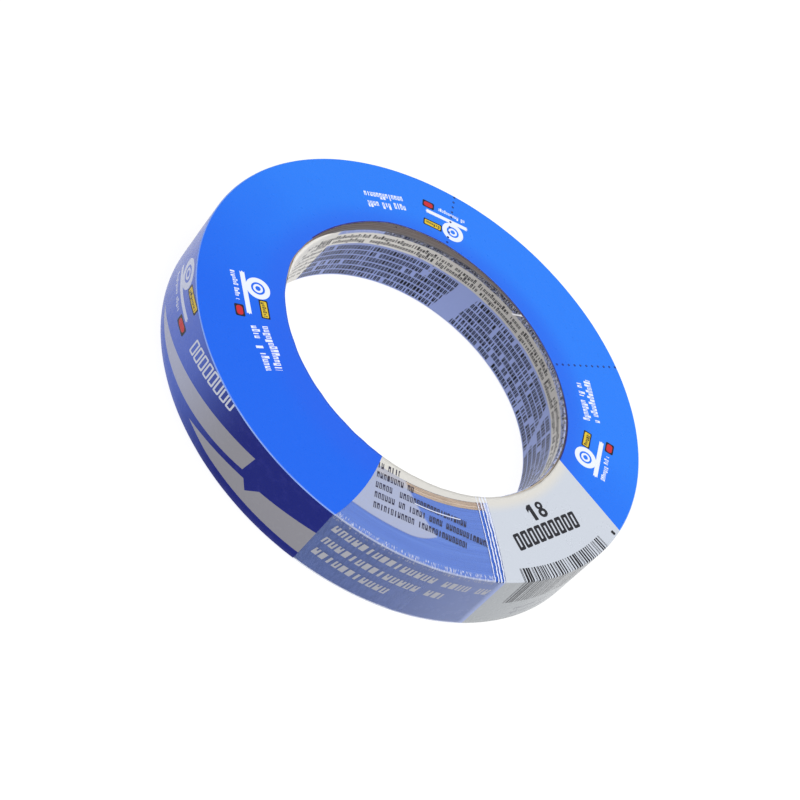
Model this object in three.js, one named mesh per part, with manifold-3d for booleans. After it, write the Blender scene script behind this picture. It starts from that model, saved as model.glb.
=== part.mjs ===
// A roll of masking tape in its printed film wrapper, lying flat.
// Millimetres, +Z up along the roll's axis, origin at the bottom centre of the wrapped roll.
// The roll is a spiral-wound paperboard core with one long strip of tape wound on it. The wrapper is a
// film sleeve that closes round the roll's section and lets the core's upper end and bore edge show.
import * as THREE from 'three';
import { mergeVertices } from 'three/addons/utils/BufferGeometryUtils.js';
import Module from 'manifold-3d';

const wasm = await Module();
wasm.setup();

// The roll: a three-inch core, and core and tape slit to one width.
const CORE_BORE_DIAMETER = 76.2;
const PLY_PITCH = 0.55;
const GLUE_LINE = 0.02;
const SLIT_WIDTH = 17.8;
const WOUND_DIAMETER = 119.2;
const TAPE_THICKNESS = 0.11;
const FREE_END_ANGLE = -60;
const FREE_END_RAMP = 0.1;

// The butt joint of each core ply runs up the tube as a helix.
const SEAM_RISE_ANGLE = 30;
const SEAM_WIDTH = 0.3;
const FIRST_SEAM_ANGLE = 20;
const SEAM_STEP = 143;

// The wrapper: film thickness, the room the roll turns in, and how far below the front face the
// film's bore edge ends.
const FILM = 0.15;
const FACE_CLEARANCE = 0.05;
const RIM_CLEARANCE = 0.1;
const BORE_CLEARANCE = 0.05;
const BORE_EDGE_DEPTH = 0.4;

// The film's front edge shrank into a ring that leans to one side and is a little oval.
const FRONT_EDGE_RADIUS = 38.55;
const FRONT_EDGE_LEAN = 1.73;
const FRONT_EDGE_LEAN_ANGLE = 103;
const FRONT_EDGE_OVAL = 0.87;
const FRONT_EDGE_OVAL_ANGLE = -26;

// The tear-off panel lies between two perforation lines.
const PERFORATION_ANGLES = [52.3, 112.3];
const PERFORATION_WIDTH = 0.3;

const CIRCLE_STEPS = 96;
const SEAM_STEPS = 12;
const DEGREE = Math.PI / 180;

const coreBore = CORE_BORE_DIAMETER / 2;
const wound = WOUND_DIAMETER / 2;
const width = SLIT_WIDTH + 2 * (FACE_CLEARANCE + FILM);
const slitBottom = FACE_CLEARANCE + FILM;
const slitTop = slitBottom + SLIT_WIDTH;
const wrapperRim = wound + RIM_CLEARANCE + FILM;
const wrapperBore = coreBore - BORE_CLEARANCE - FILM;

const plyColors = {
  core_liner_ply: 0xb9a88a,
  core_body_ply_1: 0xc2a06a,
  core_body_ply_2: 0xb8965f,
  core_body_ply_3: 0xc2a06a,
  core_body_ply_4: 0xb8965f,
  core_outer_ply: 0xc2a06a,
};

// A point at an angle in degrees, a radius and a height.
function polar(angle, radius, height) {
  return new THREE.Vector3(
    radius * Math.cos(angle * DEGREE),
    radius * Math.sin(angle * DEGREE),
    height,
  );
}

// Angles from start to end in equal steps, with both ends.
function anglesBetween(start, end, steps) {
  return Array.from({ length: steps + 1 }, (_, i) => start + ((end - start) * i) / steps);
}

// Joins sections of equal point count into one closed body. A section's points run clockwise seen
// along the sweep. A sweep that doesn't return to its start gets a cap at each end.
function loft(sections, returnsToStart) {
  const count = sections[0].length;
  const last = returnsToStart ? sections.length : sections.length - 1;
  const triangles = [];
  for (let i = 0; i < last; i += 1) {
    const here = i * count;
    const next = ((i + 1) % sections.length) * count;
    for (let j = 0; j < count; j += 1) {
      const k = (j + 1) % count;
      triangles.push(here + j, next + k, next + j);
      triangles.push(here + j, here + k, next + k);
    }
  }
  if (!returnsToStart) {
    const end = (sections.length - 1) * count;
    for (const [a, b, c] of capTriangles(sections[0])) {
      triangles.push(a, b, c);
      triangles.push(end + a, end + c, end + b);
    }
  }
  const positions = sections.flat().flatMap((point) => point.toArray());
  const geometry = new THREE.BufferGeometry();
  geometry.setAttribute('position', new THREE.Float32BufferAttribute(positions, 3));
  geometry.setIndex(triangles);
  return geometry;
}

// Triangles of a flat section that stands upright on the roll's axis, facing back along the sweep.
function capTriangles(section) {
  const outline = section.map((point) => new THREE.Vector2(Math.hypot(point.x, point.y), point.z));
  return THREE.ShapeUtils.triangulateShape(outline, []).map(([a, b, c]) => {
    const area = THREE.ShapeUtils.area([outline[a], outline[b], outline[c]]);
    return area > 0 ? [a, b, c] : [a, c, b];
  });
}

// A rectangular section from inner to outer radius.
function ringSection(angle, inner, outer, bottom, top) {
  return [
    polar(angle, inner, bottom),
    polar(angle, inner, top),
    polar(angle, outer, top),
    polar(angle, outer, bottom),
  ];
}

function toSolid(geometry) {
  const merged = mergeVertices(geometry);
  const mesh = new wasm.Mesh({
    numProp: 3,
    vertProperties: merged.attributes.position.array,
    triVerts: new Uint32Array(merged.index.array),
  });
  return new wasm.Manifold(mesh);
}

function fromSolid(solid) {
  const mesh = solid.getMesh();
  const geometry = new THREE.BufferGeometry();
  geometry.setAttribute('position', new THREE.BufferAttribute(mesh.vertProperties, 3));
  geometry.setIndex(new THREE.BufferAttribute(mesh.triVerts, 1));
  return geometry;
}

function ring(inner, outer) {
  const angles = anglesBetween(0, 360, CIRCLE_STEPS).slice(0, -1);
  const sections = angles.map((angle) => ringSection(angle, inner, outer, slitBottom, slitTop));
  return loft(sections, true);
}

// The helical slot between the two edges of one ply, a little taller and thicker than the ply.
function seamSlot(inner, outer, startAngle) {
  const margin = 1;
  const bottom = slitBottom - margin;
  const rise = SLIT_WIDTH + 2 * margin;
  const middle = (inner + outer) / 2;
  const sweep = rise / Math.tan(SEAM_RISE_ANGLE * DEGREE) / middle / DEGREE;
  const halfHeight = SEAM_WIDTH / 2 / Math.cos(SEAM_RISE_ANGLE * DEGREE);
  const sections = anglesBetween(0, 1, SEAM_STEPS).map((t) => {
    const angle = startAngle + sweep * t;
    const height = bottom + rise * t;
    return ringSection(angle, inner - margin, outer + margin, height - halfHeight, height + halfHeight);
  });
  return loft(sections, false);
}

function corePly(index) {
  const inner = coreBore + index * PLY_PITCH;
  const outer = inner + PLY_PITCH - GLUE_LINE;
  const slot = seamSlot(inner, outer, FIRST_SEAM_ANGLE + index * SEAM_STEP);
  return fromSolid(toSolid(ring(inner, outer)).subtract(toSolid(slot)));
}

// The wound strip. Its outside is a spiral that steps down by one turn at the strip's free end.
function tapeWinding() {
  const inner = coreBore + Object.keys(plyColors).length * PLY_PITCH;
  const turn = anglesBetween(0, 360 - FREE_END_RAMP, CIRCLE_STEPS);
  const sections = turn.map((swept) => {
    const outer = wound - (TAPE_THICKNESS * swept) / 360;
    return ringSection(FREE_END_ANGLE + swept, inner, outer, slitBottom, slitTop);
  });
  return loft(sections, true);
}

// Radius of the film's front edge at an angle.
function frontEdgeRadius(angle) {
  const lean = FRONT_EDGE_LEAN * Math.cos((angle - FRONT_EDGE_LEAN_ANGLE) * DEGREE);
  const oval = FRONT_EDGE_OVAL * Math.cos(2 * (angle - FRONT_EDGE_OVAL_ANGLE) * DEGREE);
  return FRONT_EDGE_RADIUS + lean + oval;
}

// The film's section: front face, rim, back face, and up the bore to its edge just below the front.
function filmSection(angle) {
  const front = frontEdgeRadius(angle);
  const boreEdge = width - BORE_EDGE_DEPTH;
  return [
    polar(angle, front, width - FILM),
    polar(angle, front, width),
    polar(angle, wrapperRim, width),
    polar(angle, wrapperRim, 0),
    polar(angle, wrapperBore, 0),
    polar(angle, wrapperBore, boreEdge),
    polar(angle, wrapperBore + FILM, boreEdge),
    polar(angle, wrapperBore + FILM, FILM),
    polar(angle, wrapperRim - FILM, FILM),
    polar(angle, wrapperRim - FILM, width - FILM),
  ];
}

function filmPanel(start, end) {
  const halfCut = PERFORATION_WIDTH / 2 / wrapperRim / DEGREE;
  const steps = Math.round(((end - start) / 360) * CIRCLE_STEPS);
  const sections = anglesBetween(start + halfCut, end - halfCut, steps).map(filmSection);
  return loft(sections, false);
}

function named(name, geometry, color, roughness, opacity = 1) {
  const material = new THREE.MeshStandardMaterial({ color, roughness, metalness: 0 });
  material.transparent = opacity < 1;
  material.opacity = opacity;
  const mesh = new THREE.Mesh(geometry, material);
  mesh.name = name;
  return mesh;
}

const roll = new THREE.Group();
Object.entries(plyColors).forEach(([name, color], index) => {
  roll.add(named(name, corePly(index), color, 0.85));
});
roll.add(named('tape_winding', tapeWinding(), 0x2f6fd6, 0.7));

const [firstLine, secondLine] = PERFORATION_ANGLES;
const wrapper = new THREE.Group();
wrapper.add(named('wrapper_sleeve', filmPanel(secondLine, firstLine + 360), 0x2a78ff, 0.3));
wrapper.add(named('wrapper_tear_panel', filmPanel(firstLine, secondLine), 0x2a6cf0, 0.3));

const wrappedRoll = new THREE.Group();
wrappedRoll.add(roll, wrapper);

export default wrappedRoll;
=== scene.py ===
"""A roll of masking tape in its printed film wrapper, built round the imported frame.

Sizes are in millimetres and angles in degrees, measured round the roll's axis from +X.
"""
from functools import reduce
import math
from typing import NamedTuple

import bpy
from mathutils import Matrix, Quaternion, Vector, noise


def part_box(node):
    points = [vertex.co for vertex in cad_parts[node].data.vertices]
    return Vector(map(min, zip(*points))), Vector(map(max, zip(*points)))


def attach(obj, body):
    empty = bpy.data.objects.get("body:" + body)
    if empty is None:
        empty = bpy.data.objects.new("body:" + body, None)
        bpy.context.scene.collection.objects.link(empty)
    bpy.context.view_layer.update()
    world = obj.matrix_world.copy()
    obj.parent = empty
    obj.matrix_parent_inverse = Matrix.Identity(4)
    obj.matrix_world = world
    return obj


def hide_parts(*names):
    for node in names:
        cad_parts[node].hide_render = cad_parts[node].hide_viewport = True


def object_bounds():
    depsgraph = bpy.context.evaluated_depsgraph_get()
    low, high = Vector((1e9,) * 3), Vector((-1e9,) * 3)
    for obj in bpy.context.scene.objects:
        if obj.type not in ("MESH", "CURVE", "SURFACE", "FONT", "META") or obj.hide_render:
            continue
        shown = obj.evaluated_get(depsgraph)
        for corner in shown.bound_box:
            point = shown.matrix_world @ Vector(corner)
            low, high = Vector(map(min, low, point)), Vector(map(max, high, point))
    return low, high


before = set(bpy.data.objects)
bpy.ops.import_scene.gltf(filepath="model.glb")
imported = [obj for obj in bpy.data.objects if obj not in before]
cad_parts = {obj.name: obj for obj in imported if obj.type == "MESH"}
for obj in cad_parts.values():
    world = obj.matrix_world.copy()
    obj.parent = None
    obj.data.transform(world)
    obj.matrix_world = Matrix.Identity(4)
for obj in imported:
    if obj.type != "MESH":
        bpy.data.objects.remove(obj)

CAD_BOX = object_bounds()
MM = 0.001
DEGREE = math.radians(1)

# Sizes that the frame gives.
RIM = CAD_BOX[1].x / MM
WIDTH = CAD_BOX[1].z / MM
CORE_NODES = sorted(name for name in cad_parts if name.startswith("core_"))
SLIT_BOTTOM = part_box("tape_winding")[0][2] / MM
SLIT_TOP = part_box("tape_winding")[1][2] / MM
WOUND_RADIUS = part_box("tape_winding")[1][0] / MM

# The core: a three-inch bore and plies of one pitch, each with a helical butt joint.
CORE_BORE = 38.1
PLY_PITCH = 0.55
PLY_GLUE = 0.03
PLY_ROUNDING = 0.09
PLY_HEIGHT_STEPS = 12
PLY_COLUMNS = 200
PAPER_FUZZ = 0.012
CORE_OUTER = CORE_BORE + PLY_PITCH * len(CORE_NODES)
SEAM_RISE = math.radians(30)
SEAM_GAP = 0.3
FIRST_SEAM_ANGLE = 20
SEAM_STEP = 143

# The tape.
TURN = 0.11
FREE_END_ANGLE = -60
FREE_END_RAMP = 0.4
TAPE_ANGLE_STEP = 0.75
TAPE_SIDE_STEPS = 44
TAPE_BACK_STEPS = 24
CREPE_HEIGHT = 0.03

# The film: its wall in the bore, the edge there and the room below that edge, its thickness, how far
# it lies in, and its bends.
FILM_BORE = 37.9
BORE_EDGE = WIDTH - 0.45
BORE_EDGE_ROOM = 0.8
FILM_THICKNESS = 0.05
FILM_PLAY = 0.08
FILM_BEND = 0.35
FILM_IOR = 1.49
BEND_STEPS = 5

# Where the bore's edge shrank upwards: the middle and the half width of each place. Past
# EDGE_LIFT_START of its lift it also leans over the core's end, clear of it, and stops short of the hem.
EDGE_LIFTS = ((35, 75), (184, 30))
EDGE_LIFT_START = 0.45
EDGE_LIFT_RISE = 0.34
CORE_CLEARANCE = 0.09
HEM_GAP = 0.3

# The film's edge on the front face: a leaning, slightly oval ring with two dips, each given by its
# middle, half width and depth.
HEM_RADIUS = 38.55
HEM_LEAN = 1.73
HEM_LEAN_ANGLE = 103
HEM_OVAL = 0.87
HEM_OVAL_ANGLE = -26
HEM_DIPS = ((70, 44, 0.8), (162, 26, 0.95))
HEM_STEPS = 6
FRONT_RUN_START = 42.0

# The perforation lines at the tear panel's two sides.
TEAR_ANGLES = (52.3, 112.3)
HOLE_PITCH = 1.95
HOLE_REACH = 0.21
HOLE_HALF_LENGTH = 0.3
HOLE_RIM = 0.34

# The film's sectors, from the clear window on: each starts where the one before it ends. The seal
# leans over the front face, so its edges are given at SEAL_RADIUS.
WINDOW_START = -83.2
SEAL_START = -43.2
SEAL_END = -39.6
LABEL_END = 2.3
SEAL_RADIUS = 50.0


# --- Numbers inside a shader ---


def wired(operation):
    """A method that puts its two values through a math node."""
    return lambda self, other: calculate(operation, self, other)


class Wire:
    """A number in a node tree that takes Python's arithmetic. Comparisons give 1 or 0."""

    def __init__(self, tree, socket):
        self.tree = tree
        self.socket = socket

    def __rsub__(self, other):
        return calculate("SUBTRACT", other, self)

    def __invert__(self):
        return 1.0 - self

    __add__ = __radd__ = wired("ADD")
    __sub__ = wired("SUBTRACT")
    __mul__ = __and__ = wired("MULTIPLY")
    __truediv__ = wired("DIVIDE")
    __gt__ = wired("GREATER_THAN")
    __lt__ = wired("LESS_THAN")
    __or__ = wired("MAXIMUM")


def plug(tree, socket, value):
    """Links a wire or a socket to an input, or sets the input to a plain value."""
    if isinstance(value, Wire):
        tree.links.new(value.socket, socket)
    elif isinstance(value, bpy.types.NodeSocket):
        tree.links.new(value, socket)
    else:
        socket.default_value = value


def calculate(operation, *values):
    tree = next(value.tree for value in values if isinstance(value, Wire))
    node = tree.nodes.new("ShaderNodeMath")
    node.operation = operation
    for socket, value in zip(node.inputs, values):
        plug(tree, socket, value)
    return Wire(tree, node.outputs[0])


def whole(value):
    return calculate("FLOOR", value)


def part_of(value):
    return calculate("FRACT", value)


def size_of(value):
    return calculate("ABSOLUTE", value)


def most(a, b):
    return calculate("MAXIMUM", a, b)


def length_of(a, b):
    return calculate("SQRT", a * a + b * b)


def between(value, low, high):
    return (value > low) & (value < high)


def any_of(masks):
    return reduce(most, masks)


def ramp(value, low, high):
    """0 below low, 1 above high, and a smooth rise between."""
    node = value.tree.nodes.new("ShaderNodeMapRange")
    node.interpolation_type = "SMOOTHSTEP"
    plug(value.tree, node.inputs["Value"], value)
    plug(value.tree, node.inputs["From Min"], low)
    plug(value.tree, node.inputs["From Max"], high)
    return Wire(value.tree, node.outputs["Result"])


def scatter(seed):
    """Three random numbers from 0 to 1 for a seed wire."""
    node = seed.tree.nodes.new("ShaderNodeTexWhiteNoise")
    node.noise_dimensions = "1D"
    plug(seed.tree, node.inputs["W"], seed)
    split = seed.tree.nodes.new("ShaderNodeSeparateColor")
    seed.tree.links.new(node.outputs["Color"], split.inputs["Color"])
    return [Wire(seed.tree, output) for output in split.outputs]


def cloud(x, y, z, scale=1.0, detail=3.0, roughness=0.5):
    """Smooth noise from 0 to 1 at a place."""
    tree = x.tree
    join = tree.nodes.new("ShaderNodeCombineXYZ")
    for socket, value in zip(join.inputs, (x, y, z)):
        plug(tree, socket, value)
    node = tree.nodes.new("ShaderNodeTexNoise")
    tree.links.new(join.outputs[0], node.inputs["Vector"])
    node.inputs["Scale"].default_value = scale
    node.inputs["Detail"].default_value = detail
    node.inputs["Roughness"].default_value = roughness
    return Wire(tree, node.outputs["Fac"])


def srgb(red, green, blue):
    """A linear colour from screen values of 0 to 255."""

    def linear(value):
        value /= 255
        return value / 12.92 if value <= 0.04045 else ((value + 0.055) / 1.055) ** 2.4

    return (linear(red), linear(green), linear(blue), 1.0)


class Ink:
    """A surface colour that prints layer over layer."""

    def __init__(self, tree, colour):
        self.tree = tree
        self.colour = colour

    def over(self, colour, mask):
        node = self.tree.nodes.new("ShaderNodeMix")
        node.data_type = "RGBA"
        factor, under, top = node.inputs[0], node.inputs[6], node.inputs[7]
        plug(self.tree, factor, mask)
        plug(self.tree, under, self.colour)
        plug(self.tree, top, colour)
        self.colour = node.outputs[2]
        return self


class Place:
    """The shaded point in millimetres and degrees round the roll's axis."""

    def __init__(self, tree):
        coordinates = tree.nodes.new("ShaderNodeTexCoord")
        split = tree.nodes.new("ShaderNodeSeparateXYZ")
        tree.links.new(coordinates.outputs["Object"], split.inputs[0])
        self.x, self.y, self.z = (Wire(tree, output) * (1 / MM) for output in split.outputs)
        self.radius = length_of(self.x, self.y)
        self.angle = calculate("ARCTAN2", self.y, self.x) * math.degrees(1)
        self.depth = WIDTH - self.z

    def cloud(self, scale, detail=3.0, roughness=0.5):
        return cloud(self.x, self.y, self.z, scale, detail, roughness)

    def tangent_frame(self, start_angle, start_radius, square_angle):
        """Distances on a flat face from a start point: along the tangent at square_angle, and inwards."""
        turn = math.radians(square_angle)
        lead = math.radians(start_angle - square_angle)
        along = self.y * math.cos(turn) - self.x * math.sin(turn) - start_radius * math.sin(lead)
        outwards = self.x * math.cos(turn) + self.y * math.sin(turn)
        return along, start_radius * math.cos(lead) - outwards

    def band_frame(self, start_angle, start_depth, slope=0.0):
        """Distances on the rim from a start point: round it, and upwards from a sloping foot line."""
        along = (self.angle - start_angle) * (RIM * DEGREE)
        return along, start_depth - along * slope - self.depth


def new_material(name, colour):
    material = bpy.data.materials.new(name)
    material.use_nodes = True
    tree = material.node_tree
    return material, tree.nodes["Principled BSDF"], Place(tree), Ink(tree, colour)


def finish_surface(shader, ink, roughness, specular, height, height_scale):
    """Plugs in colour, gloss and a bump, whose height is scaled to height_scale millimetres."""
    plug(ink.tree, shader.inputs["Base Color"], ink.colour)
    plug(ink.tree, shader.inputs["Roughness"], roughness)
    shader.inputs["Specular IOR Level"].default_value = specular
    bump = ink.tree.nodes.new("ShaderNodeBump")
    bump.inputs["Distance"].default_value = height_scale * MM
    plug(ink.tree, bump.inputs["Height"], height)
    plug(ink.tree, shader.inputs["Normal"], bump.outputs["Normal"])


# --- Greeked print ---

# Shares of a row's height: a low letter and the tail of a deep one. Then the random draws above which
# a letter is tall and below which it is deep, and the span of draws that makes it narrow.
LOW_LETTER = 0.68
TAIL = 0.25
TALL_DRAW = 0.74
DEEP_DRAW = 0.14
NARROW_DRAWS = 0.12
NARROWING = 0.36


def greeked(along, up, length, rows=1, leading=3.0, height=2.0, pitch=1.0, ragged=0.0, seed=0.0,
            capitals=False, spaces=0.12, slit_width=0.22):
    """Rows of upright blocks that stand for small type. up is 0 at the first row's foot."""
    row = calculate("CEIL", (up + height * TAIL) / -leading)
    rise = up + row * leading
    across = part_of(along / pitch)
    middle, wide, tall = scatter(whole(along / pitch) + row * 101.3 + seed)
    body = height if capitals else height * LOW_LETTER
    top = (tall > TALL_DRAW) * (height - body) + body
    foot = (tall < DEEP_DRAW) * (0.0 if capitals else height * -TAIL)
    narrow = between(wide, spaces, spaces + NARROW_DRAWS) * NARROWING
    block = between(across, 0.06 + narrow * 0.5, 0.8 - narrow * 0.6) & between(rise, foot, top)
    slit = (size_of(across - 0.43) < slit_width / 2) & (wide > 0.3)
    slit = slit & between(rise - (middle - 0.5) * (body * 0.62), body * 0.14, body * 0.86)
    if ragged:
        length = length - scatter(row * 7.7 + seed + 0.5)[0] * ragged
    shown = (wide > spaces) & between(row, -0.5, rows - 0.5) & between(along, 0.0, length)
    return block & ~slit & shown


def rounded_box(along, up, left, right, low, high, corner):
    """A filled rectangle with round corners."""
    wide = size_of(along - (left + right) / 2) - ((right - left) / 2 - corner)
    tall = size_of(up - (low + high) / 2) - ((high - low) / 2 - corner)
    return length_of(most(wide, 0.0), most(tall, 0.0)) < corner


def plain_blocks(along, up, count, pitch, height, stroke):
    """A row of hollow blocks that stand for large capitals."""
    across = part_of(along / pitch) * pitch
    left, right = 0.1, pitch - 0.3
    outer = rounded_box(across, up, left, right, 0.0, height, 0.4)
    inner = rounded_box(across, up, left + stroke, right - stroke, stroke, height - stroke, 0.1)
    return outer & ~inner & between(along, 0.0, count * pitch)


def roll_sign(along, up):
    """A small tape roll, drawn from two rings, that stands on a torn strip."""
    reach = length_of(along - 3.1, up - 3.1)
    rings = (size_of(reach - 2.4) < 0.65) | (size_of(reach - 0.95) < 0.28)
    tooth = size_of(part_of(up / 0.7) - 0.5) * 0.9
    strip = between(up, -0.95, 0.25) & between(along, tooth - 1.2, 11.2 - tooth)
    return rings | strip


def print_sign(ink, along, up, white, seed):
    """The roll sign with a plain yellow tag, a plain red tag and one row of small type."""
    ink.over(white, roll_sign(along, up))
    ink.over(white, greeked(along + 0.8, up + 3.1, 8.4, height=1.2, pitch=0.62, seed=seed))
    ink.over(TAG_EDGE, rounded_box(along, up, 6.3, 11.6, 2.6, 4.9, 0.3))
    ink.over(TAG_YELLOW, rounded_box(along, up, 6.65, 11.25, 2.95, 4.55, 0.3))
    small = greeked(along - 6.95, up - 3.3, 4.0, height=0.95, pitch=0.62, seed=seed + 2.0, spaces=0.0)
    ink.over(TAG_EDGE, small)
    ink.over(TAG_EDGE, rounded_box(along, up, 8.8, 12.2, -3.9, -1.5, 0.4))
    ink.over(TAG_RED, rounded_box(along, up, 9.2, 11.8, -3.5, -1.9, 0.7))


def number_mark(along, up):
    """The width in whole millimetres, 18, from a bar and two rings."""
    one = between(along, -0.1, 0.95) & between(up, 0.0, 4.0)
    flag = (size_of(up - along - 3.5) < 0.55) & between(along, -0.75, 0.5) & (up < 4.0)
    side = along - 3.1
    lower = length_of(side / 1.2, (up - 1.15) / 1.15)
    upper = length_of(side / 1.02, up - 3.0)
    eight = ((lower < 1.0) | (upper < 1.0)) & (lower > 0.36) & (upper > 0.36)
    return one | flag | eight


def bar_pattern(place):
    """Bars of random width between two angles, which stand for a bar code and hold no number."""
    first, last, bars = -36.4, -6.6, 34
    turn = (place.angle - first) * (bars / (last - first))
    start, wide, double = scatter(whole(turn) + 0.37)
    across = part_of(turn) - start * 0.25
    slit = between(across, 0.2, 0.34) & (double > 0.65)
    return between(across, 0.0, wide * 0.45 + 0.3) & ~slit & between(place.angle, first, last)


# --- Inks ---

BLUE = srgb(38, 119, 234)
BLUE_SHADED = srgb(24, 96, 224)
HOLE_SIDE_SHADE = srgb(36, 92, 220)
HEM_FOLD_SHADE = srgb(52, 44, 120)
RIM_SHINE = srgb(170, 196, 240)
HOLE_SHADE_BLUE = srgb(24, 44, 120)
WHITE_INK = srgb(222, 228, 246)
LABEL_WHITE = srgb(192, 198, 208)
CREAM = srgb(206, 204, 199)
CLEAR_HAZE = srgb(206, 214, 236)
PATCH_WHITE = srgb(196, 202, 220)
WINDOW_TYPE = srgb(58, 56, 72)
TYPE_BLACK = srgb(40, 40, 46)
BAR_BLACK = srgb(30, 30, 34)
TAG_EDGE = srgb(34, 34, 44)
TAG_YELLOW = srgb(214, 184, 52)
TAG_RED = srgb(192, 44, 52)

# Band inks, darker than the face's: partly the print's navy, partly painted shade on the rim's side.
NAVY = srgb(14, 32, 136)
NAVY_SHADED = srgb(14, 28, 122)
NAVY_WORN = srgb(48, 54, 146)
HOLE_SHADE_NAVY = srgb(20, 30, 96)
# Painted sheen of glancing light on the band's left part, on its ground and its stripes.
SHEEN_BLUE = srgb(100, 128, 224)
# The stripes' white ink, painted grey as shade.
STRIPE_SHADED_WHITE = srgb(147, 146, 154)
STRIPE_SHEEN = srgb(172, 176, 200)
BAND_SIGN = srgb(196, 202, 226)
BAND_CAPITALS = srgb(204, 208, 222)
BAND_HAZE = srgb(156, 170, 216)
BAND_TYPE = srgb(190, 190, 196)
BAND_LABEL = srgb(170, 174, 178)
BAND_BARS = srgb(76, 78, 84)
BAND_NOTES = srgb(140, 142, 150)

LAVENDER = srgb(140, 154, 206)
LAVENDER_SHADED = srgb(138, 152, 206)
LAVENDER_LIGHT = srgb(160, 173, 224)
BORE_CREAM = srgb(222, 219, 214)
BORE_CREAM_SHADED = srgb(184, 181, 178)
BORE_TYPE = srgb(14, 16, 30)
BORE_EDGE_TYPE = srgb(24, 26, 44)
BORE_NOTES = srgb(62, 60, 62)
CRUMPLE_SHADE_GREY = srgb(122, 127, 158)
CRUMPLE_SHADE_DARK = srgb(34, 34, 48)
CREASE_HIGHLIGHT = srgb(235, 235, 240)

BACK_TYPE = srgb(52, 56, 78)
BACK_BARS = srgb(60, 60, 64)
FILM_WHITE = srgb(196, 206, 232)
FILM_WHITE_SHADED = srgb(186, 196, 224)


# --- Film print ---

# Each sign and block of rows on the front face: the angle and radius where it starts, the angle whose
# tangent it lies along, and a seed.
SIGNS = (
    (-152.7, 48.4, -137.0, 11.0),
    (107.8, 49.7, 117.0, 23.0),
    (11.5, 48.1, 16.5, 37.0),
)
ROW_BLOCKS = (
    (-136.0, 44.3, -128.0, 31.0),
    (127.9, 48.0, 139.0, 41.0),
    (31.0, 45.6, 39.8, 53.0),
)

# The rows of type in the window, each with its drop below the first and its length. The rows on the
# band have a seed too.
WINDOW_ROWS = ((0.0, 5.6), (2.7, 10.0), (5.6, 23.0), (8.4, 29.5), (11.3, 23.5))
BAND_ROWS = ((0.0, 44.0, 3.0), (4.5, 30.5, 4.0), (8.8, 19.0, 6.0))

# The white lines in the seal, as shares of its width.
SEAL_LINES = (0.02, 0.36, 0.62, 0.9)

# The seal's two edges and the label's last edge on the band.
BAND_SEAL_START = SEAL_START - 1.0
BAND_SEAL_END = SEAL_END - 1.8
BAND_LABEL_END = -0.1


def seal_edges(radius):
    """The first and the last angle of the seal on the front face, at a radius or a wire of one."""
    past = radius - SEAL_RADIUS
    return SEAL_START - past * 0.1014, SEAL_END - past * 0.173


def front_sectors(place):
    """The clear window, the heat seal and the white label on the front face, by their edges."""
    reach = size_of(place.y) - 49.0
    past_window_start = place.x > 8.3 - reach * reach * 0.009
    before_label_end = place.y < (RIM - place.x) * 0.2166 - 0.2
    seal_start, seal_end = seal_edges(place.radius)
    window = past_window_start & (place.angle < seal_start) & (place.y < 0.0)
    seal = between(place.angle, seal_start, seal_end)
    label = between(place.angle, seal_end, 30.0) & before_label_end
    return window, seal, label


def hole_rims(place, run, end):
    """Rings of painted shade round the perforations along a run in millimetres, counted back from its
    end.
    """
    turns = (end - FILM_BEND - HOLE_HALF_LENGTH - run) / HOLE_PITCH
    step = size_of(part_of(turns + 0.5) - 0.5) * HOLE_PITCH
    return any_of(
        length_of((place.angle - angle) * place.radius * DEGREE, step) < HOLE_RIM
        for angle in TEAR_ANGLES
    )


def film(name, colours, print_on, roughness=0.3, gloss=0.2):
    """A film material with the gloss and fine ripples of shrunk film.

    colours are its ground, its deep tone, painted as shade towards -Y with a random drift, and the light
    tone of its specks.
    print_on prints it and returns how solid it is, from 0 to 1.
    """
    ground, deep, light = colours
    material, shader, place, ink = new_material(name, ground)
    drift = place.cloud(0.035, detail=2.0)
    grain = place.cloud(2.2, detail=2.0)
    # Painted shade: the ground turns to its deep tone towards -Y, with a random drift.
    ink.over(deep, ramp((drift - 0.5) * 40.0 - place.y * 1.3, -34.0, 52.0))
    ink.over(light, ramp(grain, 0.45, 0.8) * 0.12)
    plug(ink.tree, shader.inputs["Alpha"], print_on(ink, place))
    shader.inputs["IOR"].default_value = FILM_IOR
    scuff = place.cloud(0.6, detail=4.0)
    ripple = cloud(place.x, place.y, place.z * 0.6, scale=0.35)
    fine = place.cloud(3.0, detail=2.0)
    dull = scuff * 0.16 + (roughness - 0.08)
    finish_surface(shader, ink, dull, gloss, ripple + fine * 0.08, 0.12)
    return material


def seal_lines(place):
    """The thin white lines of the film's heat seal."""
    first, last = seal_edges(place.radius)
    share = (place.angle - first) / (last - first)
    beat = cloud(place.radius, place.angle, place.z, scale=0.9, detail=1.0)
    wander = (beat - 0.5) * 0.14
    return any_of(size_of(share - centre + wander) < 0.055 for centre in SEAL_LINES)


def window_patch(place):
    """The see-through white patch behind the window's small type, with its soft edge."""
    last_angle = (place.radius - 43.0) * 0.95 - 65.0
    past = most(place.angle + 66.0, 0.0)
    last_radius = 53.8 - past * past * 0.035
    return ramp(last_angle - place.angle, 0.0, 1.5) & ramp(last_radius - place.radius, 0.0, 0.7)


def window_type(place):
    """The rows of small type in the window."""
    along, up = place.tangent_frame(-79.2, 40.3, -65.0)
    return any_of(
        greeked(along, up + drop, length, height=1.65, pitch=0.86, seed=61.0 + drop, capitals=True)
        for drop, length in WINDOW_ROWS
    )


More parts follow.
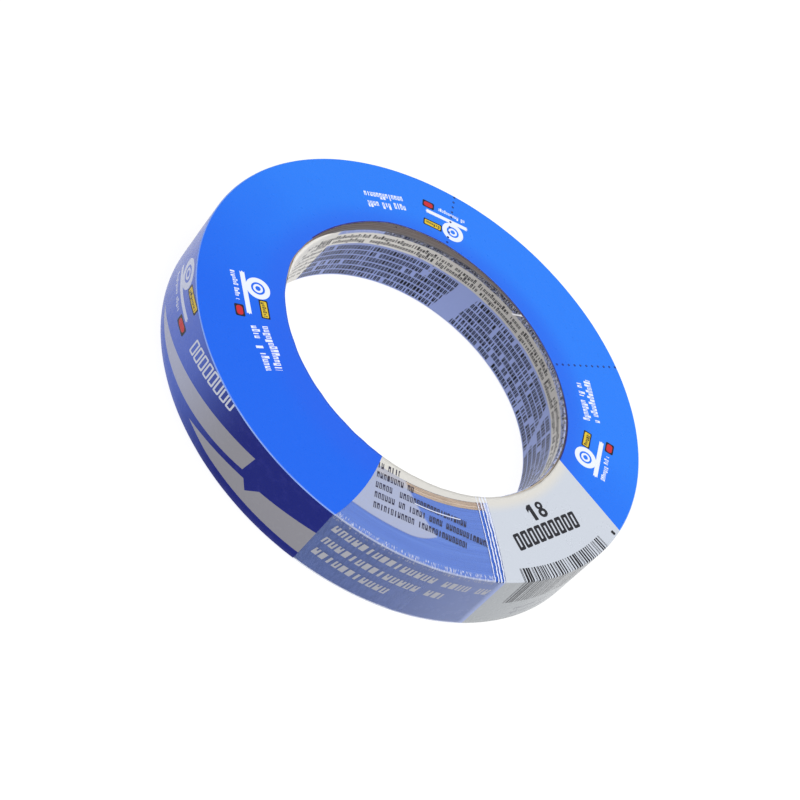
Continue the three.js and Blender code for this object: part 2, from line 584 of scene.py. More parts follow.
def hem_in_shader(place):
    """The film's front edge radius, by the same formula as hem_radius."""
    turn = place.angle * DEGREE
    lean = calculate("COSINE", turn - HEM_LEAN_ANGLE * DEGREE) * HEM_LEAN
    oval = calculate("COSINE", (turn - HEM_OVAL_ANGLE * DEGREE) * 2.0) * HEM_OVAL
    radius = lean + oval + HEM_RADIUS
    for middle, half_width, dip in HEM_DIPS:
        away = (place.angle - middle) / half_width
        radius = radius - most(1.0 - away * away, 0.0) * dip
    return radius


def rim_crinkle_glints(place):
    """Painted highlights: bright short streaks on the creases across the rim where the film turns over
    it.
    """
    streak = cloud(place.angle * 5.0, place.radius * 0.8 + place.z * 0.8, place.z * 0.1)
    return ramp(streak, 0.5, 0.64)


def print_blue_face(ink, place):
    """Painted shade by the hole, the far edge and the perforations, a painted rim highlight, signs and
    type.
    """
    # Painted shade where the face curves down towards the hole.
    ink.over(HOLE_SIDE_SHADE, ramp(47.5 - place.radius, 0.0, 8.0) * 0.6)
    # Painted highlight along the rim's bend, broken up by a cloud.
    shine = cloud(place.angle * 0.08, place.z, place.z) + 0.1
    ink.over(RIM_SHINE, ramp(place.radius, RIM - 0.4, RIM - 0.1) & shine)
    # Painted shade: a dark line along the film's edge on the far side, where it folds into the bore.
    ink.over(HEM_FOLD_SHADE, (place.radius < hem_in_shader(place) + 0.28) & (place.y > 4.0))
    for *start, seed in SIGNS:
        print_sign(ink, *place.tangent_frame(*start), WHITE_INK, seed)
    for *start, seed in ROW_BLOCKS:
        along, up = place.tangent_frame(*start)
        ink.over(WHITE_INK, greeked(along, up, 13.2, rows=2, pitch=0.9, ragged=2.0, seed=seed))
    # Painted shade round the perforations.
    ink.over(HOLE_SHADE_BLUE, hole_rims(place, place.radius, RIM))


def print_window(ink, place, window, seal):
    """Prints the clear window and the seal, and returns how solid the film is there."""
    clear = window | seal
    hem_band = (place.radius < 39.5) & clear
    patch = window & window_patch(place)
    rows = window_type(place) & window
    lines = seal_lines(place) & seal
    # Painted highlight: a thin white arc along a crease in the window.
    arc = size_of(place.radius - 44.6 - (place.angle + 57.0) * 0.02) < 0.14
    arc = arc & between(place.angle, -65.0, -50.0)
    # Painted highlights on the crinkles, and a thin painted highlight along the rim.
    crinkle_glints = rim_crinkle_glints(place) & (place.radius > RIM - 1.6)
    crinkle_glints = most(crinkle_glints, ramp(place.radius, RIM - 0.7, RIM - 0.2) * 0.7) & window
    ink.over(CLEAR_HAZE, window)
    ink.over(PATCH_WHITE, patch)
    ink.over(CREAM, hem_band)
    ink.over(WINDOW_TYPE, rows)
    ink.over(WHITE_INK, lines | arc | crinkle_glints)
    type_haze = rows * 0.85 | lines * 0.9
    return ~clear | clear * 0.1 | patch * 0.62 | type_haze | arc * 0.8 | crinkle_glints * 0.7 | hem_band


def print_label(ink, place, label):
    """The white label with its number, bold row and bar pattern."""
    cream = Ink(ink.tree, LABEL_WHITE).over(CREAM, ramp(42.5 - place.radius, 0.0, 3.0))
    ink.over(cream.colour, label)
    along, up = place.tangent_frame(-23.6, 45.9, -22.0)
    ink.over(TYPE_BLACK, number_mark(along / 1.12 - 0.9, up / 1.04) & label)
    along, up = place.tangent_frame(-33.4, 52.2, -21.5)
    ink.over(TYPE_BLACK, plain_blocks(along - up * 0.12, up, 9, 2.45, 4.2, 0.76) & label)
    ink.over(BAR_BLACK, bar_pattern(place) & (place.radius > 56.4))
    along, up = place.tangent_frame(-2.2, 59.0, -2.2)
    ink.over(TYPE_BLACK, rounded_box(along, up, -0.5, 0.4, -0.3, 0.9, 0.2) & label)


def print_front(ink, place):
    """The printed front face with its clear window and white label."""
    print_blue_face(ink, place)
    window, seal, label = front_sectors(place)
    solid = print_window(ink, place, window, seal)
    print_label(ink, place, label)
    return solid


def stripes(place, turn):
    """Two plain tapering stripes that sweep along the band, the lower with a notch in its top edge."""
    angle = place.angle - turn
    back = -102.4 - angle
    top = back * back * 0.00085 + back * 0.2 + 4.5
    low = back * 0.27 - back * back * 0.0026 + 9.3
    upper = between(place.depth, top, low) & between(back, (place.depth - 4.5) * 0.14, 52.0)
    on = angle + 119.9
    top = on * on * 0.0017 - on * 0.266 + 15.2
    low = calculate("MINIMUM", on * 0.06 + 15.2, 15.7)
    notch = place.depth < 13.1 - size_of(angle + 99.9) * 1.2
    lower = between(place.depth, top, low) & between(on, 0.0, WINDOW_START + 119.9) & ~notch
    return upper | lower


def print_stripes(ink, place, turn, glancing_sheen):
    """The stripes, the sign and the large blocks, turned by an angle round the roll."""
    # The stripes' white ink is painted grey as shade, and lightened by the painted sheen.
    grey = Ink(ink.tree, STRIPE_SHADED_WHITE).over(STRIPE_SHEEN, glancing_sheen)
    ink.over(grey.colour, stripes(place, turn))
    along, up = place.band_frame(turn - 155.5, 8.4, slope=0.18)
    print_sign(ink, along * 0.6, up, BAND_SIGN, turn + 71.0)
    along, up = place.band_frame(turn - 131.6, 6.9, slope=0.23)
    ink.over(BAND_CAPITALS, plain_blocks(along, up, 8, 2.45, 4.1, 0.5))


def print_navy_band(ink, place):
    """The band's worn navy ground, a painted sheen on its left part, its two prints and the perforations.
    """
    worn = place.cloud(0.45, detail=4.0, roughness=0.6)
    ink.over(NAVY_WORN, ramp(worn, 0.5, 0.72) * 0.35)
    # Painted sheen: the band's left part is lightened as if it caught glancing light.
    glancing_sheen = ramp(-106.0 - place.angle, 0.0, 30.0) & ramp(place.angle, -178.0, -164.0)
    ink.over(SHEEN_BLUE, glancing_sheen * 0.72)
    for turn in (0.0, 180.0):
        print_stripes(ink, place, turn, glancing_sheen)
    # Painted shade round the perforations.
    ink.over(HOLE_SHADE_NAVY, hole_rims(place, place.z, WIDTH))


def band_type(place):
    """The rows of leaning capitals low in the band's window."""
    rows = []
    for drop, length, seed in BAND_ROWS:
        along, up = place.band_frame(-81.6, 4.3 + drop, slope=-0.03)
        leaning = along - up * 0.2
        rows.append(greeked(leaning, up, length, height=3.3, pitch=1.75, seed=seed, capitals=True))
    return any_of(rows)


def print_band(ink, place):
    """The film round the rim: dark blue print, partly painted shade, clear window, seal and white label.
    """
    print_navy_band(ink, place)
    window = between(place.angle, WINDOW_START, BAND_SEAL_START)
    seal = between(place.angle, BAND_SEAL_START, BAND_SEAL_END)
    label = between(place.angle, BAND_SEAL_END, BAND_LABEL_END)
    clear = window | seal
    rows = band_type(place) & clear
    # Painted highlights on the crinkles at the rim.
    crinkle_glints = rim_crinkle_glints(place) & (place.depth < 1.2)
    ink.over(BAND_HAZE, clear)
    ink.over(BAND_TYPE, rows | crinkle_glints & window)
    ink.over(BAND_LABEL, label)
    ink.over(BAND_BARS, bar_pattern(place) & (place.depth < 9.4))
    along, up = place.band_frame(-30.0, 13.4)
    small = greeked(along, up, 22.0, rows=2, leading=2.2, height=1.3, pitch=0.8, ragged=5.0, seed=9.0)
    ink.over(BAND_NOTES, small & label)
    toward_seal = ramp(place.angle, -78.0, -40.0) * 0.36 + 0.22
    into_seal = seal * ramp(place.angle, SEAL_START - 2.0, BAND_SEAL_END)
    return ~clear | toward_seal | rows * 0.8 | crinkle_glints * 0.65 | into_seal


def bore_ground(place, wander):
    """Where the film in the bore is pale: a strip, the sector past a slanting line and the near side."""
    cream = between(place.depth + wander, 1.5, 5.6)
    wedge = place.angle > (place.depth - 7.0) * 0.3 + 161.5
    rolled = (place.angle > 162.0) & (place.depth < 1.6)
    return cream | wedge | rolled | (place.angle < -20.0)


def print_bore_type(ink, place, arc, pale):
    """Dark rows on the blue ground, and smaller ones on the pale strip and the pale sector."""
    back = 210.0 - arc
    upper = greeked(back, 3.4 - place.depth, 400.0, rows=2, leading=1.6, height=1.3, pitch=0.8,
                    seed=81.0, spaces=0.08, slit_width=0.14)
    lines = greeked(back, 7.8 - place.depth, 400.0, rows=6, leading=1.95, height=1.75, pitch=0.95,
                    seed=83.0, capitals=True, spaces=0.08, slit_width=0.1)
    edge = greeked(back, 0.9 - place.depth, 400.0, height=1.1, pitch=1.3, seed=82.0)
    notes = greeked(back, 3.9 - place.depth, 400.0, rows=7, leading=1.9, height=1.1, pitch=0.7,
                    seed=88.0)
    printed = between(place.angle, -18.0, 168.0)
    noted = between(place.angle, 162.0, 176.0) | between(place.angle, -172.0, -60.0)
    gap = size_of(place.angle - 96.0 - (place.depth - 9.0) * 0.3) < 4.6
    fold = size_of(place.angle - 33.5 + (place.depth - 12.0) * 0.9) < 1.4
    ink.over(BORE_TYPE, lines & printed & ~gap & ~fold & ~pale)
    ink.over(BORE_EDGE_TYPE, edge & between(place.angle, 0.0, 130.0))
    ink.over(BORE_NOTES, upper & printed | notes & noted)


def print_bore(ink, place):
    """The film in the bore: pale ground, greeked type and a crumpled edge, with painted shade and
    highlights.
    """
    arc = place.angle * (CORE_BORE * DEGREE)
    wander = (cloud(arc, place.z, place.z, scale=0.08) - 0.5) * 0.84
    pale = bore_ground(place, wander)
    # Painted shade: the pale ground is darker near 66 degrees, turned from the light, and lit further
    # round.
    lit = ramp(size_of(place.angle - 66.0), 20.0, 84.0)
    ink.over(Ink(ink.tree, BORE_CREAM_SHADED).over(BORE_CREAM, lit).colour, pale)
    edge_zone = (place.depth + wander < 1.5) & between(place.angle, -8.0, 138.0)
    shaded = ramp(place.angle, 35.0, 90.0)
    crumple = cloud(arc * 1.3, place.z * 2.4, place.radius) + shaded * 0.14
    # Painted shade on the crumpled edge: grey, deeper where shaded, with darker crumples.
    ink.over(CRUMPLE_SHADE_GREY, (shaded * 0.6 + 0.3) & edge_zone)
    ink.over(CRUMPLE_SHADE_DARK, (ramp(crumple, 0.52, 0.64) & edge_zone) * 0.85)
    print_bore_type(ink, place, arc, pale)
    # Painted highlights on the edge's creases and on one fold, dimmer where shaded.
    crease_glint = size_of(place.angle - 74.6 - place.depth * 1.6) < 0.5
    streak_glints = rim_crinkle_glints(place) * (0.75 - shaded * 0.4)
    ink.over(CREASE_HIGHLIGHT, streak_glints & (place.depth < 1.6) | crease_glint & (place.depth < 2.0))
    return 1.0


def print_back(ink, place):
    """The film's back face: the sectors carry on over it, with plain rows of greeked type."""
    panel = between(place.angle, 14.0, 168.0) & (place.radius < 51.0)
    along = place.angle * (46.0 * DEGREE) - 14.0
    rows = greeked(along, place.radius - 48.5, 116.0, rows=4, leading=2.4, height=1.6, pitch=0.9,
                   seed=91.0)
    ink.over(LAVENDER, panel)
    ink.over(BACK_TYPE, rows & panel)
    # Painted shade round the perforations.
    ink.over(HOLE_SHADE_BLUE, hole_rims(place, place.radius, RIM))
    clear = between(place.angle, WINDOW_START, SEAL_END)
    lines = seal_lines(place) & between(place.angle, SEAL_START, SEAL_END)
    ink.over(CLEAR_HAZE, clear)
    ink.over(WHITE_INK, lines)
    ink.over(LABEL_WHITE, between(place.angle, SEAL_END, LABEL_END))
    ink.over(BACK_BARS, bar_pattern(place) & (place.radius > 54.0))
    return ~clear | clear * 0.12 | lines * 0.9


def print_inside(ink, place):
    """The film's inner side has no print, and is clear where the window and the seal are."""
    return ~(between(place.angle, WINDOW_START, SEAL_END) & (place.radius > 39.5))


# --- Tape and core materials ---

TAPE_SIDE = srgb(72, 114, 204)
TAPE_SIDE_DARK = srgb(56, 98, 184)
TAPE_SIDE_LIGHT = srgb(90, 132, 212)
TAPE_DUST = srgb(150, 180, 236)
CREPE = srgb(62, 90, 160)
CREPE_FOLD = srgb(46, 74, 142)
CREPE_FIBRE = srgb(92, 118, 180)
BOARD_FLECK = srgb(96, 74, 56)
BOARD_FAR_SHADE = srgb(78, 76, 84)


def tape_side():
    """The slit edges of the wound turns."""
    material, shader, place, ink = new_material("tape_side", TAPE_SIDE)
    turns = cloud(place.radius * 7.0, place.angle * 0.035, place.z, detail=4.0, roughness=0.7)
    bands = cloud(place.radius * 0.9, place.angle * 0.01, place.z, detail=2.0)
    dust = place.cloud(4.0)
    ink.over(TAPE_SIDE_DARK, ramp(turns, 0.35, 0.7))
    ink.over(TAPE_SIDE_LIGHT, ramp(bands, 0.45, 0.75) * 0.5)
    ink.over(TAPE_DUST, ramp(dust, 0.62, 0.8) * 0.35)
    dull = ramp(dust, 0.2, 0.8) * 0.2 + 0.55
    finish_surface(shader, ink, dull, 0.25, turns + dust * 0.3, 0.1)
    return material


def tape_back():
    """The creped paper on the outside of the last turn."""
    material, shader, place, ink = new_material("tape_back", CREPE)
    arc = place.angle * (WOUND_RADIUS * DEGREE)
    crepe = cloud(arc * 2.2, place.z * 0.5, place.radius)
    fibre = place.cloud(3.0, detail=4.0)
    ink.over(CREPE_FOLD, ramp(crepe, 0.4, 0.65))
    ink.over(CREPE_FIBRE, ramp(fibre, 0.55, 0.8) * 0.4)
    dull = ramp(crepe, 0.3, 0.7) * 0.2 + 0.5
    finish_surface(shader, ink, dull, 0.3, crepe + fibre * 0.2, 0.16)
    return material


def paperboard(name, light, dark, fibre_depth):
    """Kraft paperboard with long fibres, flecks, a pressed grain and painted shade that greys its +Y
    side.
    """
    material, shader, place, ink = new_material(name, light)
    arc = place.angle * (CORE_BORE * DEGREE)
    grain = cloud(arc * 0.35, place.z * 1.5, place.radius * 2.5, scale=1.2, detail=5.0, roughness=0.65)
    fleck = place.cloud(2.6, detail=2.0)
    ply = cloud(place.radius * 5.0, place.angle * 0.05, place.z * 0.1, detail=2.0)
    shade_wander = cloud(place.x, place.y, place.z * 0.3, scale=0.12)
    ink.over(dark, ramp(grain, 0.35, 0.72))
    ink.over(dark, ramp(ply, 0.5, 0.75) * 0.4)
    ink.over(BOARD_FLECK, ramp(fleck, 0.68, 0.82) * 0.5)
    # Painted shade: the board greys towards +Y, where the core's end lies back under the film's edge.
    ink.over(BOARD_FAR_SHADE, ramp(place.y + shade_wander * 12.0, -8.0, 18.0) * 0.85)
    dull = ramp(grain, 0.2, 0.8) * 0.15 + 0.78
    finish_surface(shader, ink, dull, 0.2, grain + fleck * 0.4, fibre_depth)
    return material


# --- Meshes ---


def polar(angle, radius, height):
    turn = math.radians(angle)
    return Vector((radius * math.cos(turn), radius * math.sin(turn), height))


def wrap(angle):
    """The same angle between -180 and 180."""
    return (angle + 180) % 360 - 180


def round_noise(angle, radius, height, scale):
    """Smooth noise from -1 to 1 that closes on itself round the axis."""
    return noise.noise(polar(angle, radius, height) * scale)


def sweep_faces(rings, closed):
    """Faces that join closed rings ring to ring, and the last to the first if the sweep is closed."""
    count = len(rings[0])
    faces = []
    for i in range(len(rings) if closed else len(rings) - 1):
        here = i * count
        there = (i + 1) % len(rings) * count
        for j in range(count):
            k = (j + 1) % count
            faces.append((here + j, here + k, there + k, there + j))
    return faces


def end_caps(rings):
    """Faces that close a sweep's two ends, across rings that go out on one side and back on the other."""
    count = len(rings[0])
    last = (len(rings) - 1) * count
    caps = []
    for j in range(count // 2 - 1):
        a, b, c, d = j, j + 1, count - 2 - j, count - 1 - j
        caps.append((d, c, b, a))
        caps.append((last + a, last + b, last + c, last + d))
    return caps


def swept_mesh(name, rings, materials, tags, cap=None):
    """A smooth mesh from rings of points in millimetres.

    tags holds the material number of each step round a ring. cap is that of the flat end caps, which
    have sharp edges. Without it the sweep closes on itself.
    """
    faces = sweep_faces(rings, cap is None)
    caps = [] if cap is None else end_caps(rings)
    mesh = bpy.data.meshes.new(name)
    mesh.from_pydata([point * MM for ring in rings for point in ring], [], faces + caps)
    for material in materials:
        mesh.materials.append(material)
    numbers = tags * (len(faces) // len(tags)) + [cap] * len(caps)
    mesh.polygons.foreach_set("material_index", numbers)
    mesh.polygons.foreach_set("use_smooth", [True] * len(faces) + [False] * len(caps))
    mesh.update()
    sharp = {key for polygon in mesh.polygons[len(faces):] for key in polygon.edge_keys}
    for edge in mesh.edges:
        edge.use_edge_sharp = edge.key in sharp
    return mesh


def add_piece(mesh):
    piece = bpy.data.objects.new(mesh.name, mesh)
    bpy.context.scene.collection.objects.link(piece)
    return piece


# --- Film meshes ---

# The film's surfaces, in the order of its materials.
FRONT, BAND, BACK, BORE, INSIDE = range(5)

# The two last stations in the bore, marked in place of a share: the film's edge, and the lip past it
# with its reach and rise.
EDGE, LIP = 1, 2
LIP_REACH = 0.06
LIP_RISE = 0.02

# How the film is swept: degrees a step, and finer steps over the heat seal, whose ridges they shape.
FILM_ANGLE_STEP = 1.5
SEAL_ANGLE_STEP = 0.16
SEAL_ANGLE_STEPS = 40
SEAL_MARGIN = 1.5
SEAL_RIDGES = 3.2

# Half of the gap in degrees between two film panels at a perforation line.
TEAR_HALF_GAP = 0.002


class Station(NamedTuple):
    """One place along the film's section: a surface, a radius and height, and the way out of the film.

    share is how far a station of the front face lies from its edge to FRONT_RUN_START, or EDGE or LIP.
    """

    surface: int
    radius: float
    height: float
    out_radius: float
    out_height: float
    hole: bool = False
    share: float = None


def bend_stations(surface, radius, height, start, end):
    """The round bend between two faces of the film, its two ends left out."""
    stations = []
    for i in range(1, BEND_STEPS):
        turn = math.radians(start + (end - start) * i / BEND_STEPS)
        out, up = math.cos(turn), math.sin(turn)
        stations.append(Station(surface, radius + FILM_BEND * out, height + FILM_BEND * up, out, up))
    return stations


def perforated_run(length):
    """Distances along a straight run of the film, three to a perforation, each with its hole mark."""
    run = []
    for i in range(3 * int(length / HOLE_PITCH + 1)):
        distance = i // 3 * HOLE_PITCH + i % 3 * HOLE_HALF_LENGTH
        if distance <= length:
            run.append((distance, i % 3 == 1))
    return run


def film_stations():
    """The film's outer surface, from its edge on the front face round to its edge in the bore."""
    rim, top = RIM - FILM_BEND, WIDTH - FILM_BEND
    stations = [Station(FRONT, 0.0, WIDTH, 0, 1, share=i / HEM_STEPS) for i in range(HEM_STEPS)]
    for distance, hole in reversed(perforated_run(rim - FRONT_RUN_START)):
        stations.append(Station(FRONT, rim - distance, WIDTH, 0, 1, hole))
    stations += bend_stations(FRONT, rim, top, 90, 0)
    for distance, hole in perforated_run(WIDTH - 2 * FILM_BEND):
        stations.append(Station(BAND, RIM, top - distance, 1, 0, hole))
    stations += bend_stations(BAND, rim, FILM_BEND, 0, -90)
    for distance, hole in perforated_run(rim - FILM_BORE - FILM_BEND):
        stations.append(Station(BACK, rim - distance, 0.0, 0, -1, hole))
    stations += bend_stations(BORE, FILM_BORE + FILM_BEND, FILM_BEND, 270, 180)
    for distance, hole in perforated_run(BORE_EDGE - BORE_EDGE_ROOM - FILM_BEND):
        stations.append(Station(BORE, FILM_BORE, FILM_BEND + distance, -1, 0, hole))
    stations.append(Station(BORE, FILM_BORE, 0.0, -1, 0, share=EDGE))
    stations.append(Station(BORE, FILM_BORE, 0.0, 0, 1, share=LIP))
    return stations


def hem_radius(angle):
    """The radius of the film's edge on the front face."""
    lean = HEM_LEAN * math.cos(math.radians(angle - HEM_LEAN_ANGLE))
    oval = HEM_OVAL * math.cos(2 * math.radians(angle - HEM_OVAL_ANGLE))
    radius = HEM_RADIUS + lean + oval
    for middle, half_width, dip in HEM_DIPS:
        away = wrap(angle - middle) / half_width
        radius -= max(0.0, 1 - away * away) * dip
    return radius


def seal_ridge(angle, radius):
    """Height from 0 to 1 of the ridges that the heat seal left."""
    first, last = seal_edges(radius)
    share = (angle - first) / (last - first)
    if not -0.1 < share < 1.05:
        return 0.0
    return max(0.0, math.cos(math.radians(share * 360 * SEAL_RIDGES)))


def film_depth(station, angle, radius, height):
    """How far slow ripples sink the film here, less on a ridge of the seal."""
    slow = 0.5 + 0.5 * round_noise(angle, radius, height, 0.09)
    quick = 0.5 + 0.5 * round_noise(angle, radius, height, 0.22)
    depth = FILM_PLAY * (0.6 * slow + 0.4 * quick)
    if station.surface == FRONT and SEAL_START - 3 < angle < SEAL_END + 3:
        depth *= 1 - seal_ridge(angle, radius)
    return depth


def edge_lift(angle):
    """From 0 to 1: how far the bore's edge has shrunk upwards."""
    lift = 0.0
    for middle, half_width in EDGE_LIFTS:
        away = abs(wrap(angle - middle)) / half_width
        if away < 1:
            lift = max(lift, math.cos(math.radians(away * 90)))
    return lift


def bore_edge_point(station, angle):
    """Radius and height of the film's ragged edge in the bore, and of the lip past it."""
    lift = edge_lift(angle)
    over = max(0.0, lift - EDGE_LIFT_START) / (1 - EDGE_LIFT_START)
    ragged = 0.22 * round_noise(angle, 38, 7, 0.6) + 0.12 * round_noise(angle, 38, 9, 2.2)
    height = BORE_EDGE + ragged * (1 - lift) + EDGE_LIFT_RISE * min(1.0, lift / EDGE_LIFT_START)
    if over:
        height = max(height, SLIT_TOP + CORE_CLEARANCE)
    radius = FILM_BORE
    if station.share == LIP:
        reach = max(0.0, hem_radius(angle) - HEM_GAP - FILM_BORE)
        radius += LIP_REACH + reach * over
        height += LIP_RISE + LIP_RISE * over
    return radius, min(height, WIDTH - 0.04)


def film_point(station, angle):
    """The outer and the inner point of the film at a station."""
    radius, height = station.radius, station.height
    if station.surface == FRONT and station.share is not None:
        edge = hem_radius(angle) + 0.12 * round_noise(angle, 40, 3, 0.35)
        radius = edge + (FRONT_RUN_START - edge) * station.share
    if station.surface == BORE and station.share is not None:
        radius, height = bore_edge_point(station, angle)
    depth = 0.0 if station.share == LIP else film_depth(station, angle, radius, height)

    def sunk(by):
        return polar(angle, radius - by * station.out_radius, height - by * station.out_height)

    return sunk(depth), sunk(depth + FILM_THICKNESS)


def film_ring(stations, angle, side=0):
    """The film's section at an angle. side is 1 or -1 at a perforation line, the way to the panel."""
    pairs = []
    for station in stations:
        radius = station.radius or hem_radius(angle)
        notch = math.degrees(HOLE_REACH / radius) if station.hole else 0.0
        pairs.append(film_point(station, wrap(angle + side * (notch + TEAR_HALF_GAP))))
    outers, inners = zip(*pairs)
    return outers + inners[::-1]


def sweep_angles(start, end):
    """Angles from start to end, closer together over the heat seal."""
    steps = round((end - start) / FILM_ANGLE_STEP)
    angles = [start + (end - start) * i / steps for i in range(1, steps)]
    fine = [SEAL_START - SEAL_MARGIN + SEAL_ANGLE_STEP * i for i in range(SEAL_ANGLE_STEPS + 1)]
    for turn in (0, 360):
        first, last = fine[0] + turn, fine[-1] + turn
        if start < first and last < end:
            angles = [angle for angle in angles if not first - 0.2 < angle < last + 0.2]
            angles += [angle + turn for angle in fine]
    return sorted(angles)


def film_panel(name, start, end, materials):
    """A closed film shell between two perforation lines, its sides notched by half of each hole."""
    stations = film_stations()
    rings = [film_ring(stations, start, 1)]
    rings += [film_ring(stations, angle) for angle in sweep_angles(start, end)]
    rings.append(film_ring(stations, end, -1))
    tags = [station.surface for station in stations[1:]] + [BORE] + [INSIDE] * len(stations)
    return add_piece(swept_mesh(name, rings, materials, tags, cap=INSIDE))


# --- Tape and core meshes ---

# The tape's surfaces, in the order of its materials.
SLIT_EDGE, CREPED_BACK = range(2)


def slit_edge_point(angle, outer, share, height, inwards):
    """A point on a slit edge, at a share of the way from the core outwards, stepped in a little."""
    radius = CORE_OUTER + (outer - CORE_OUTER) * share
    step = 0.02 + 0.02 * noise.noise(Vector((radius * 1.7, angle * 0.004, height)))
    return polar(angle, radius, height + inwards * step)


def tape_ring(swept):
    """The wound strip's section, swept degrees from its free end."""
    angle = wrap(FREE_END_ANGLE + swept)
    outer = WOUND_RADIUS - TURN * swept / 360
    shares = [i / TAPE_SIDE_STEPS for i in range(TAPE_SIDE_STEPS + 1)]
    ring = [slit_edge_point(angle, outer, share, SLIT_TOP, -1) for share in shares]
    for i in range(1, TAPE_BACK_STEPS):
        height = SLIT_TOP + (SLIT_BOTTOM - SLIT_TOP) * i / TAPE_BACK_STEPS
        crepe = CREPE_HEIGHT * round_noise(angle, outer, height * 0.4, 1.9)
        ring.append(polar(angle, outer - CREPE_HEIGHT + crepe, height))
    return ring + [slit_edge_point(angle, outer, 1 - share, SLIT_BOTTOM, 1) for share in shares]


def wound_tape(materials):
    """The wound strip with its creped back, its stepped slit edges and its free end."""
    sweep = 360 - FREE_END_RAMP
    rings = [tape_ring(i * TAPE_ANGLE_STEP) for i in range(int(sweep / TAPE_ANGLE_STEP) + 1)]
    rings.append(tape_ring(sweep))
    tags = [SLIT_EDGE] * TAPE_SIDE_STEPS + [CREPED_BACK] * TAPE_BACK_STEPS
    tags += [SLIT_EDGE] * (TAPE_SIDE_STEPS + 1)
    return add_piece(swept_mesh("tape_roll", rings, materials, tags))


def ply_section(inner, outer):
    """Points round a ply's section, up its inside and down its outside, with softened rims."""
    inside = [(inner + PLY_ROUNDING, SLIT_BOTTOM), (inner, SLIT_BOTTOM + PLY_ROUNDING)]
    for i in range(1, PLY_HEIGHT_STEPS):
        inside.append((inner, SLIT_BOTTOM + (SLIT_TOP - SLIT_BOTTOM) * i / PLY_HEIGHT_STEPS))
    inside += [(inner, SLIT_TOP - PLY_ROUNDING), (inner + PLY_ROUNDING, SLIT_TOP)]
    outside = [(inner + outer - radius, height) for radius, height in reversed(inside)]
    return inside + outside


def ply_point(angle, radius, height):
    """A point on a ply with the paper's fuzz, which never rises above the ply's upper end."""
    fuzz = PAPER_FUZZ * round_noise(angle, radius, height, 1.1)
    return polar(angle, radius + fuzz, height - abs(fuzz) * (height > WIDTH / 2))


def core_ply(index, name, material):
    """One spiral-wound ply: a strip whose two edges meet in a helical butt joint."""
    inner = CORE_BORE + index * PLY_PITCH
    outer = inner + PLY_PITCH - PLY_GLUE
    middle = (inner + outer) / 2
    section = ply_section(inner, outer)
    rise = math.degrees(1 / math.tan(SEAM_RISE) / middle)
    gap = math.degrees(SEAM_GAP / math.sin(SEAM_RISE) / middle)
    rings = []
    for i in range(PLY_COLUMNS + 1):
        ring = []
        for radius, height in section:
            seam = FIRST_SEAM_ANGLE + index * SEAM_STEP + rise * (height - SLIT_BOTTOM)
            angle = seam + gap / 2 + (360 - gap) * i / PLY_COLUMNS
            ring.append(ply_point(angle, radius, height))
        rings.append(ring)
    return add_piece(swept_mesh(name, rings, [material], [0] * len(section), cap=0))


# --- The roll ---


def build_core():
    """The plies from the liner outwards."""
    liner = paperboard("liner_paper", srgb(196, 184, 168), srgb(172, 160, 144), 0.05)
    kraft = paperboard("kraft_board", srgb(200, 178, 154), srgb(182, 158, 132), 0.1)
    darker = paperboard("kraft_board_dark", srgb(188, 164, 138), srgb(166, 142, 116), 0.1)
    body = [name for name in CORE_NODES if "body" in name]
    order = ["core_liner_ply"] + body + ["core_outer_ply"]
    for index, node in enumerate(order):
        board = liner if index == 0 else (kraft, darker)[index % 2]
        piece = core_ply(index, node.replace("core_", "board_"), board)
        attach(piece, "roll")
        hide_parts(node)
        "core_liner" if index == 0 else "core_board"


def build_tape():
    tape = wound_tape([tape_side(), tape_back()])
    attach(tape, "roll")
    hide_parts("tape_winding")


def build_wrapper():
    """The two film panels, with a material for each surface in the order of their numbers."""
    materials = [
        film("film_front", (BLUE, BLUE_SHADED, BLUE), print_front),
        film("film_band", (NAVY, NAVY_SHADED, NAVY), print_band, roughness=0.26, gloss=0.12),
        film("film_back", (BLUE, BLUE_SHADED, BLUE), print_back),
        film("film_bore", (LAVENDER, LAVENDER_SHADED, LAVENDER_LIGHT), print_bore, roughness=0.34),
        film("film_inside", (FILM_WHITE, FILM_WHITE_SHADED, CLEAR_HAZE), print_inside, roughness=0.4),
    ]
    first, second = TEAR_ANGLES
    spans = {"wrapper_sleeve": (second, first + 360), "wrapper_tear_panel": (first, second)}
    for node, (start, end) in spans.items():
        panel = film_panel(node.replace("wrapper_", "film_"), start, end, materials)
        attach(panel, "wrapper")
        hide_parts(node)


# --- Studio ---

# In metres.
FLOOR_HALF = 3.0
FLOOR_DROP = 0.0002
LIGHT_DISTANCE = 1.2

WHITE = (1.0, 1.0, 1.0, 1.0)
FLOOR_LIGHT = (0.19, 0.19, 0.19, 1.0)
FLOOR_DARK = (0.17, 0.17, 0.17, 1.0)

# The camera's place as seen from the front face's centre, its lens, its roll and its aim.
CAMERA_DISTANCE = 439.3
CAMERA_ELEVATION = math.radians(38.97)
CAMERA_LENS = 85.25
CAMERA_ROLL = math.radians(42.25)
CAMERA_AIM = Vector((1.51, -18.14, WIDTH))


def floor_material():
    material, shader, place, ink = new_material("studio_floor", FLOOR_LIGHT)
    tone = place.cloud(0.004, detail=2.0)
    ink.over(FLOOR_DARK, tone)
    plug(ink.tree, shader.inputs["Base Color"], ink.colour)
    shader.inputs["Emission Color"].default_value = WHITE
    shader.inputs["Emission Strength"].default_value = 0.88
    shader.inputs["Roughness"].default_value = 0.9
    shader.inputs["Specular IOR Level"].default_value = 0.1
    return material


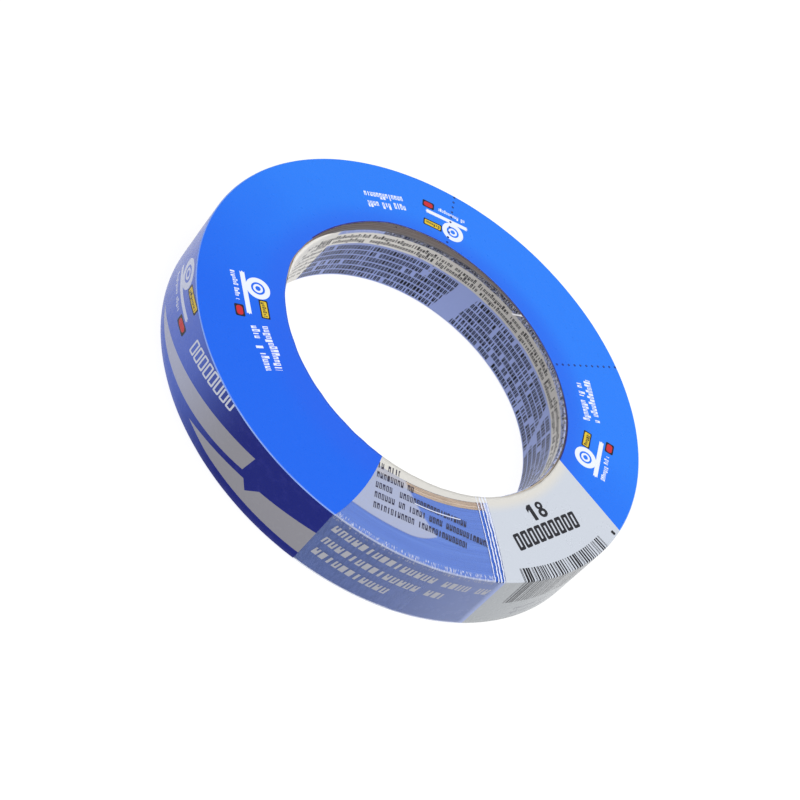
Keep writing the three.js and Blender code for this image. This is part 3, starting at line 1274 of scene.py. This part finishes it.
def add_floor():
    corners = [(x * FLOOR_HALF, y * FLOOR_HALF, 0) for x, y in ((-1, -1), (1, -1), (1, 1), (-1, 1))]
    mesh = bpy.data.meshes.new("studio_floor")
    mesh.from_pydata(corners, [], [(0, 1, 2, 3)])
    mesh.materials.append(floor_material())
    floor = add_piece(mesh)
    floor.location.z = -FLOOR_DROP


def add_area_light(name, azimuth, elevation, size, power):
    """A square soft light that faces the roll."""
    turn, lift = math.radians(azimuth), math.radians(elevation)
    away = Vector((math.cos(turn) * math.cos(lift), math.sin(turn) * math.cos(lift), math.sin(lift)))
    data = bpy.data.lights.new(name, "AREA")
    data.size = size
    data.energy = power
    light = bpy.data.objects.new(name, data)
    light.location = away * LIGHT_DISTANCE
    light.rotation_euler = (-away).to_track_quat("-Z", "Y").to_euler()
    bpy.context.scene.collection.objects.link(light)


def add_light():
    world = bpy.data.worlds.new("studio")
    world.use_nodes = True
    background = world.node_tree.nodes["Background"]
    background.inputs["Color"].default_value = WHITE
    background.inputs["Strength"].default_value = 0.5
    bpy.context.scene.world = world
    add_area_light("overhead", 10, 80, 1.2, 13)
    add_area_light("side_fill", -45, 35, 0.8, 0.8)


def add_camera():
    """The camera looks down at the front face from -Y, rolled about its own axis."""
    level = -CAMERA_DISTANCE * math.cos(CAMERA_ELEVATION)
    height = CAMERA_DISTANCE * math.sin(CAMERA_ELEVATION) + WIDTH
    eye = Vector((0.0, level, height))
    data = bpy.data.cameras.new("camera")
    data.lens = CAMERA_LENS
    data.sensor_width = 36
    data.clip_start = 0.01
    camera = bpy.data.objects.new("camera", data)
    camera.location = eye * MM
    upright = (CAMERA_AIM - eye).to_track_quat("-Z", "Y")
    camera.rotation_mode = "QUATERNION"
    camera.rotation_quaternion = upright @ Quaternion((0, 0, 1), CAMERA_ROLL)
    bpy.context.scene.collection.objects.link(camera)
    bpy.context.scene.camera = camera


bpy.context.scene.view_settings.view_transform = "Standard"
build_core()
build_tape()
build_wrapper()
add_floor()
add_light()
add_camera()
